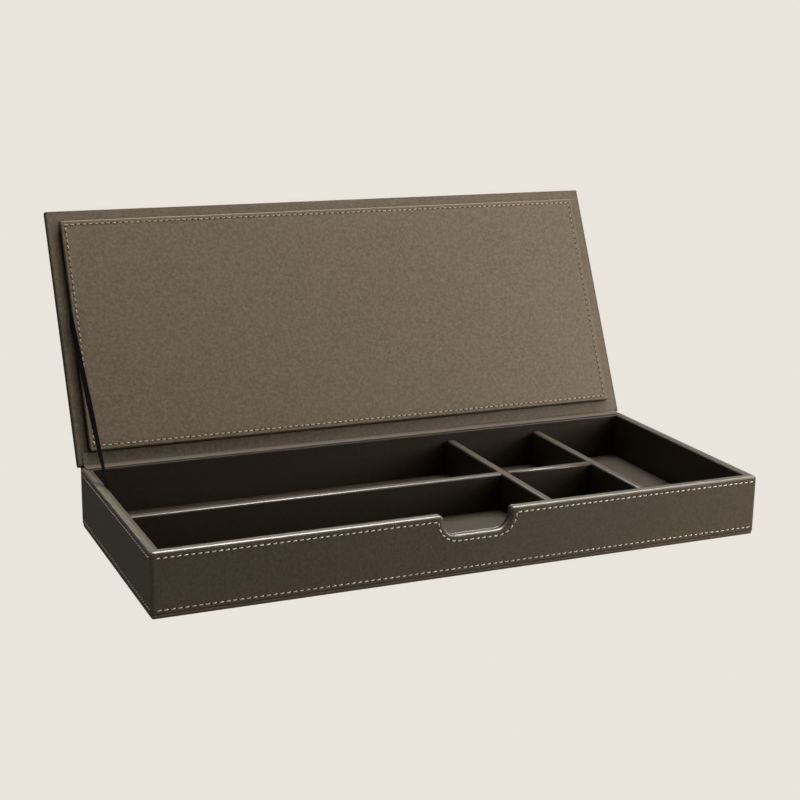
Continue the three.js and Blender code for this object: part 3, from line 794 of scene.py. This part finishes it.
# ---- Lid lining ----
# A sheet of the paler leather over the inside of the lid's board. It shows as the flat border round
# the pad, just inside the turned-in edge of the cover.

LINING_EDGE_RADIUS = 0.25 * MM
LINING_CORNER = 1 * MM
PAD_CORNER = 1.5 * MM
PAD_CONTACT_SHADOW = ((1.2, -0.85), (-0.5, -0.75), (-1.3, -0.08))  # mm inside the pad's outline, and how dark the painted contact shadow is there
# The border is darkened a little all over.
BORDER_DARKENING = -0.08

# Light brown calf, glazed: as fine a grain as the rest, with a soft even gloss.
lid_calf = make_leather("light_brown_calf", ("#52473A", "#6C604E", "#5E5242"), 1.1 * MM, 0.55, "#746A5C")

low, high = closed_box("lid_lining")
bm = bmesh.new()
pad_low, pad_high = closed_box("lid_pad_leather")
loops = [rounded_rectangle(pad_low, pad_high, inset * MM, PAD_CORNER, low.z) for inset, polish_and_painted_shade in PAD_CONTACT_SHADOW]
loops += [rounded_rectangle(low, high, side, LINING_CORNER, low.z + down)
          for side, down in quarter_round(LINING_EDGE_RADIUS, 2)[::-1]]
loops += [rounded_rectangle(low, high, 0, LINING_CORNER, high.z)]
capped_loops(bm, loops, [polish_and_painted_shade for inset, polish_and_painted_shade in PAD_CONTACT_SHADOW] + [BORDER_DARKENING] * 4)
lid_lining = make_piece("lid_lining_leather", opened(bm), lid_calf)
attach(lid_lining, "lid")
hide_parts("lid_lining")

# ---- Lid pad ----
# A board with a thin felt under its leather, glued inside the lid. Its edges are rubbed round, its
# face swells very slightly, and a row of stitches runs 3 mm inside its edge.

PAD_RADIUS = 1.0 * MM
PAD_UNDERCUT = 0.9 * MM  # the leather is pulled in under the pad's edge, which leaves a gap painted dark as shade
PAD_ROW = 3.0 * MM
PAD_SWELL = 0.25 * MM
PAD_HOLE = (0.8 * MM, 0.52 * MM)
# Painted shade along the bottom of the pad's stitch channel.
PAD_CHANNEL_PAINTED_SHADE = -0.4
PAD_EDGE_PAINTED_SHADE = (-0.2, -0.1, 0.0, 0.0, 0.0)  # painted shade from the side over the edge
PAD_RISE = ((7, 0.5), (14, 0.8), (28, 0.95), (50, 1.0))  # mm in from the edge, share of the swell

# The same thread dyed a dull gold: it lies deep in the soft pad between wide needle holes painted dark with
# shade.
gold_thread = make_thread("waxed_gold_linen_thread", ("#8C8062", "#B8AA84"))

low, high = pad_low, pad_high
bm = bmesh.new()
# The undercut and the foot of the pad's side are painted dark as shade.
section = [(PAD_UNDERCUT + LEATHER, low.z + LEATHER, 0.0), (PAD_UNDERCUT + LEATHER, high.z, -0.6),
           (PAD_UNDERCUT, high.z, -0.8), (0, low.z + 1.5 * MM, -0.5)]
section += [(side, low.z + down, polish_and_painted_shade)
            for (side, down), polish_and_painted_shade in zip(quarter_round(PAD_RADIUS), PAD_EDGE_PAINTED_SHADE)]
section += [(PAD_ROW - CHANNEL_HALF_WIDTH, low.z, 0.0), (PAD_ROW, low.z + CHANNEL_DEPTH, PAD_CHANNEL_PAINTED_SHADE),
            (PAD_ROW + CHANNEL_HALF_WIDTH, low.z, 0.0)]
section += [(inset * MM, low.z - PAD_SWELL * share, 0.0) for inset, share in PAD_RISE]
capped_loops(bm, [rounded_rectangle(low, high, inset, PAD_CORNER, z) for inset, z, polish_and_painted_shade in section],
             [polish_and_painted_shade for inset, z, polish_and_painted_shade in section])
lid_pad = make_piece("lid_pad_cover", opened(bm), lid_calf)
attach(lid_pad, "lid")
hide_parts("lid_pad_leather")

bm = bmesh.new()
row_corners = rounded_rectangle(pad_low, pad_high, PAD_ROW, 0, pad_low.z)[::CORNER_STEPS + 1]
sew(bm, row_corners, (0, 0, -1), closed=True, hole=PAD_HOLE)
pad_stitches = make_piece("lid_pad_stitching", opened(bm), gold_thread, needle_hole)
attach(pad_stitches, "lid")

# ---- Spine leather ----
# A strip of thinner calf that hinges the lid: glued and stitched to the back wall, looped over the
# joint, and glued and stitched to the outside of the lid.

SPINE_LEATHER = 0.5 * MM
HINGE_GLUE = 0.25 * MM
SPINE_ROW = 2.5 * MM
SPINE_END = 2 * MM  # the leather is pared away to nothing before the corners
SPINE_REACH = 12 * MM  # how far it lies on the lid


def when_open(y, z):
    turned = closed_to_open @ Vector((0, y, z))
    return turned.y, turned.z


def smooth_line(points, steps=6):
    """A curve through the given points, with even steps between each two of them."""
    line = [Vector(p) for p in points]
    line = [2 * line[0] - line[1]] + line + [2 * line[-1] - line[-2]]
    curve = []
    for a, b, c, d in zip(line, line[1:], line[2:], line[3:]):
        for i in range(steps):
            t = i / steps
            curve.append(0.5 * (2 * b + (c - a) * t + (2 * a - 5 * b + 4 * c - d) * t * t
                                + (3 * b - a - 3 * c + d) * t ** 3))
    return curve + [line[-2]]


def bent_strip(bm, line, thickness, from_x, to_x, polish_and_painted_shade=None):
    """A thin sheet across the box with the given middle line in y and z."""
    rows = []
    for i, point in enumerate(line):
        along = (line[min(i + 1, len(line) - 1)] - line[max(i - 1, 0)]).normalized()
        side = Vector((-along.y, along.x)) * (thickness / 2)
        rows.append([put_points(bm, [(x, *(point + side * face))], polish_and_painted_shade[i] if polish_and_painted_shade else 0.0)[0]
                     for x, face in ((from_x, 1), (to_x, 1), (to_x, -1), (from_x, -1))])
    bm.faces.new(rows[0])
    for row, following in zip(rows, rows[1:]):
        join_loop(bm, row, following)
    bm.faces.new(rows[-1][::-1])


low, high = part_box("spine_leather")
rest = SPINE_LEATHER / 2 + HINGE_GLUE
spine_line = [(half_y + rest, low.z), (half_y + rest, 31 * MM), (half_y + 1.5 * MM, 33 * MM),
              (half_y + 4 * MM, 33.5 * MM), when_open(lid_high.y - 1 * MM, lid_high.z + 1.5 * MM),
              when_open(lid_high.y - 3 * MM, lid_high.z + rest),
              when_open(lid_high.y - SPINE_REACH, lid_high.z + rest)]
bm = bmesh.new()
bent_strip(bm, smooth_line(spine_line), SPINE_LEATHER, low.x + SPINE_END, high.x - SPINE_END)
spine = make_piece("spine_leather_strip", bm, outer_calf)
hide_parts("spine_leather")
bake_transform(spine)

bm = bmesh.new()
face = half_y + rest + SPINE_LEATHER / 2
row_x = half_x - SPINE_END - row_end
sew(bm, [(row_x, face, low.z + SPINE_ROW), (-row_x, face, low.z + SPINE_ROW)],
    (0, 1, 0), sunk=0)
spine_stitches = make_piece("spine_stitching_on_wall", bm, linen_thread, needle_hole)
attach(spine_stitches, "tray")

bm = bmesh.new()
row_y = lid_high.y - SPINE_REACH + SPINE_ROW
face = lid_high.z + rest + SPINE_LEATHER / 2
sew(bm, [(-row_x, row_y, face), (row_x, row_y, face)], (0, 0, 1), sunk=0)
side_x = lid_high.x - LID_ROW
front_y = lid_low.y + LID_ROW
last_y = lid_high.y - SPINE_REACH - 1 * MM
sew(bm, [(-side_x, last_y, lid_high.z), (-side_x, front_y, lid_high.z)], (0, 0, 1))
sew(bm, [(-side_x, front_y, lid_high.z), (side_x, front_y, lid_high.z)], (0, 0, 1))
sew(bm, [(side_x, front_y, lid_high.z), (side_x, last_y, lid_high.z)], (0, 0, 1))
lid_stitches = make_piece("lid_outside_stitching", opened(bm), linen_thread, needle_hole)
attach(lid_stitches, "lid")

# ---- Hinge lining ----
# A strip of pared leather that hides the joint from inside: glued over the back rim and onto the
# lid's border as far as the pad, with a soft fold between them.

HINGE_LINING = 0.35 * MM
LINING_END = 5 * MM  # it reaches past the compartments to cover the joint as far as the corners
HINGE_LINING_PAINTED_SHADE = [-0.5] * 11 + [-0.75] * 7 + [-0.25] * 3 + [-0.08] * 10  # painted shade, from the rim up: darkest in the fold

low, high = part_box("hinge_lining")
rest = HINGE_LINING / 2 + HINGE_GLUE
back_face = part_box("back_liner_leather")[0].y
pad_gap = lid_high.y - pad_high.y
lining_line = [(back_face + 0.5 * MM, rim + rest), (half_y - 0.5 * MM, rim + rest),
               (half_y + 1.4 * MM, rim + rest), when_open(lid_high.y - 1.2 * MM, lid_low.z - rest),
               when_open(lid_high.y - 2.5 * MM, lid_low.z - rest),
               when_open(lid_high.y - pad_gap + 0.5 * MM, lid_low.z - rest)]
bm = bmesh.new()
bent_strip(bm, smooth_line(lining_line), HINGE_LINING, low.x - LINING_END, high.x + LINING_END, HINGE_LINING_PAINTED_SHADE)
hinge_lining = make_piece("hinge_lining_leather", bm, lid_calf)
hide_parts("hinge_lining")
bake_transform(hinge_lining)

# ---- Stay ribbon ----
# A narrow dark grosgrain ribbon on the left that stops the lid: its lower end goes down between the
# left liner and the floor, and its upper end is glued under the edge of the pad.

RIBBON_THICKNESS = 0.35 * MM
TWIST_AT_LID = math.radians(19)  # the ribbon turns a little to the front on its way up
TWIST_AT_RIM = math.radians(4)
RIBBON_FOOT = 20.5 * MM  # how far it goes on past the wall's lower half, down to the floor
RIBBON_STEPS = 48
TWIST_START = 0.25  # the twist grows between these shares of its length
TWIST_SPAN = 0.32
SELVEDGE = 0.76  # the woven edges begin at this share of its half width
SELVEDGE_THICKNESS = 0.55

# Grosgrain silk: crosswise ribs 0.5 mm apart, drawn at 1 mm so that they show, with a low sheen.
grosgrain, tree = new_material("dark_grosgrain_silk")
place = add_node(tree, "ShaderNodeTexCoord")
leaning = add_node(tree, "ShaderNodeMapping", {"Rotation": (math.radians(-45), 0, 0)},
                   {"Vector": (place, "Object")})
ribs = add_node(tree, "ShaderNodeTexWave", {"Scale": WAVE_SCALE / (1.0 * MM), "Distortion": 0.3},
                {"Vector": (leaning, "Vector")}, bands_direction="Y")
silk = add_node(tree, "ShaderNodeMix", {6: linear("#0B0806"), 7: linear("#1D1711")},
                {0: (ribs, "Fac")}, data_type="RGBA")
relief = add_node(tree, "ShaderNodeBump", {"Strength": 0.6, "Distance": 0.12 * MM},
                  {"Height": (ribs, "Fac")})
skin = add_node(tree, "ShaderNodeBsdfPrincipled", {"Roughness": 0.6, "IOR": 1.45, "Specular IOR Level": 0.2},
                {"Base Color": (silk, 2), "Normal": (relief, "Normal")})
add_node(tree, "ShaderNodeOutputMaterial", links={"Surface": (skin, "BSDF")})

corners = [v.co for v in frame["nodes"]["stay_ribbon"].data.vertices]
slope = Vector((0, 1, 1)).normalized()
across = Vector((0, -1, 1)).normalized()
middle_x = sum(c.x for c in corners) / len(corners)
front_edge = max(c.dot(across) for c in corners)
back_edge = min(c.dot(across) for c in corners)
ends = [[min(c.dot(slope) for c in corners if abs(c.dot(across) - edge) < 0.1 * MM),
         max(c.dot(slope) for c in corners if abs(c.dot(across) - edge) < 0.1 * MM)]
        for edge in (front_edge, back_edge)]
for end in ends:
    end[0] -= RIBBON_FOOT
bm = bmesh.new()
rows = []
half_width = (front_edge - back_edge) / 2
for step in range(RIBBON_STEPS + 1):
    share = step / RIBBON_STEPS
    rise = min(max((share - TWIST_START) / TWIST_SPAN, 0.0), 1.0)
    twist = TWIST_AT_RIM + (TWIST_AT_LID - TWIST_AT_RIM) * rise * rise * (3 - 2 * rise)
    row = []
    for face in (-1, 1):
        for reach in (-face, -face * SELVEDGE, 0.0, face * SELVEDGE, face):
            side = (1 - reach) / 2
            low_end = ends[0][0] + (ends[1][0] - ends[0][0]) * side
            high_end = ends[0][1] + (ends[1][1] - ends[0][1]) * side
            thick = face * RIBBON_THICKNESS / 2 * (SELVEDGE_THICKNESS if abs(reach) == 1 else 1.0)
            out = reach * half_width
            point = slope * (low_end + (high_end - low_end) * share)
            point += across * ((front_edge + back_edge) / 2 + out * math.cos(twist) - thick * math.sin(twist))
            point.x = middle_x + out * math.sin(twist) + thick * math.cos(twist)
            row.append(point)
    rows.append(put_points(bm, row))
bm.faces.new(rows[0])
for row, following in zip(rows, rows[1:]):
    join_loop(bm, row, following)
bm.faces.new(rows[-1][::-1])
ribbon = make_piece("stay_ribbon_silk", bm, grosgrain)
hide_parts("stay_ribbon")
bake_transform(ribbon)
